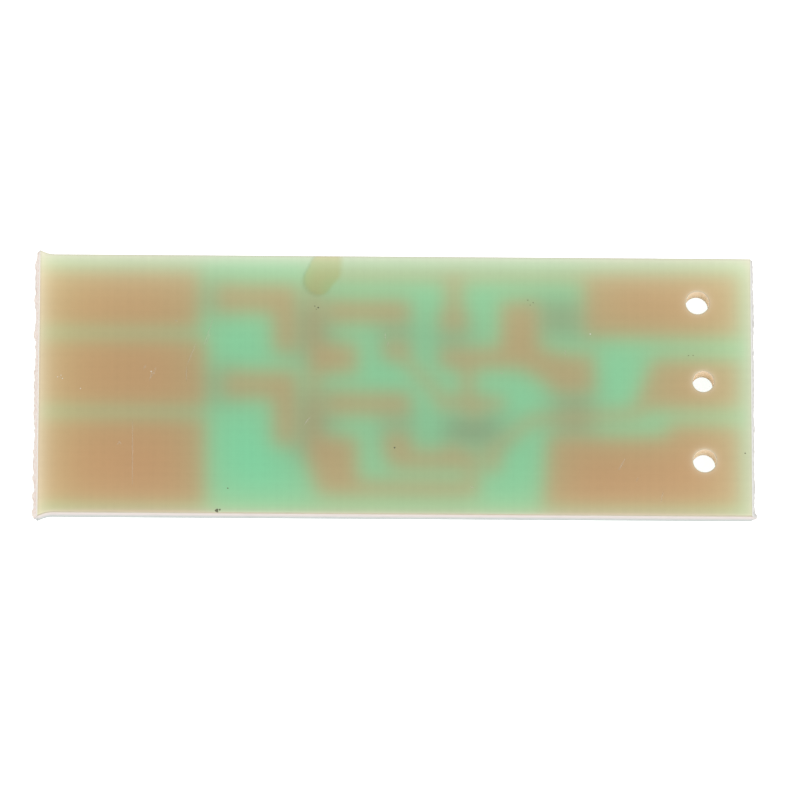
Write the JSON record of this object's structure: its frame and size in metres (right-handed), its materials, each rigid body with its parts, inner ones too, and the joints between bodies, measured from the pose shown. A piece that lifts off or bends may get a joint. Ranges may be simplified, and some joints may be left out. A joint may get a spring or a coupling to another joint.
{
  "type": "led module circuit board",
  "caption": "Small single-sided driver board for LEDs: translucent glass-epoxy strip, bare on top, with foil, mask and surface-mounted parts beneath and wire holes at one end.",
  "frame": {"origin": "centre of the footprint, on the surface that the three transistors rest on", "axes": "+X along the board towards the wire holes, +Y towards its supply edge, +Z out of the bare face"},
  "size_m": [0.034, 0.0128, 0.0023],
  "materials": {
    "laminate": "translucent glass-epoxy, satin",
    "mask": "glossy green lacquer",
    "copper": "rolled copper under lacquer",
    "tin": "hot-dipped tin",
    "solder": "bright solder",
    "moulding": "moulded epoxy",
    "lead": "matt tin plate",
    "alumina": "unglazed alumina",
    "end_cap": "plated end cap",
    "coat": "fired glass coat",
    "capacitor": "fired titanate ceramic"
  },
  "bodies": {
    "root": {"laminate": "laminate", "solder_mask": "mask", "led_land_1": "copper", "led_land_2": "copper", "led_land_3": "copper", "collector_foil_1": "copper", "collector_foil_2": "copper", "base_foil_1": "copper", "base_foil_2": "copper", "supply_foil": "copper", "switch_foil": "copper", "signal_foil": "copper", "ground_foil": "copper", "tinned_lands": "tin", "transistor_solder": "solder", "chip_solder": "solder", "driver_1_body": "moulding", "driver_1_leads": "lead", "driver_2_body": "moulding", "driver_2_leads": "lead", "switch_body": "moulding", "switch_leads": "lead", "series_resistor_1_core": "alumina", "series_resistor_1_caps": "end_cap", "series_resistor_1_coat": "coat", "series_resistor_2_core": "alumina", "series_resistor_2_caps": "end_cap", "series_resistor_2_coat": "coat", "base_resistor_1_core": "alumina", "base_resistor_1_caps": "end_cap", "base_resistor_1_coat": "coat", "base_resistor_2_core": "alumina", "base_resistor_2_caps": "end_cap", "base_resistor_2_coat": "coat", "pull_up_resistor_core": "alumina", "pull_up_resistor_caps": "end_cap", "pull_up_resistor_coat": "coat", "feed_resistor_core": "alumina", "feed_resistor_caps": "end_cap", "feed_resistor_coat": "coat", "capacitor_core": "capacitor", "capacitor_caps": "end_cap"}
  },
  "joints": []
}
